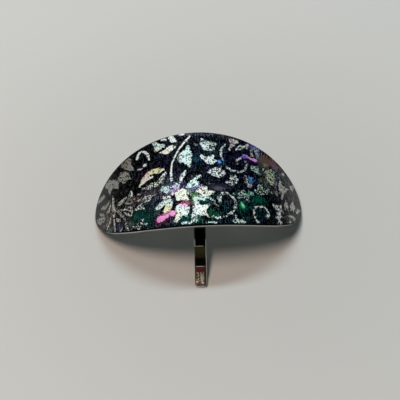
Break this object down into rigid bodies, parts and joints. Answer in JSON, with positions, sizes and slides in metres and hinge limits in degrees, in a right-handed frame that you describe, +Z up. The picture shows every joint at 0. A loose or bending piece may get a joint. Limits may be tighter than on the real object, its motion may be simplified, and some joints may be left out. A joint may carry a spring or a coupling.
{
  "type": "hair clip",
  "caption": "Oval metal plate bent to an arch with a printed leather face, and a strip hook under its crown that slips behind a hair tie.",
  "frame": {"origin": "middle of the clip's footprint, on the surface that the ends of the plate and the tip of the hook rest on", "axes": "+X along the plate, -Y the way the hook's tip points, +Z up from the surface to the crown of the arch"},
  "size_m": [0.072, 0.0511, 0.0202],
  "materials": {
    "plate_metal": "satin nickel plate",
    "printed_leather": "dark coated face with a silver foil print",
    "hook_metal": "polished dark nickel plate"
  },
  "bodies": {
    "root": {"plate": "plate_metal", "cover": "printed_leather", "hook": "hook_metal"}
  },
  "joints": []
}
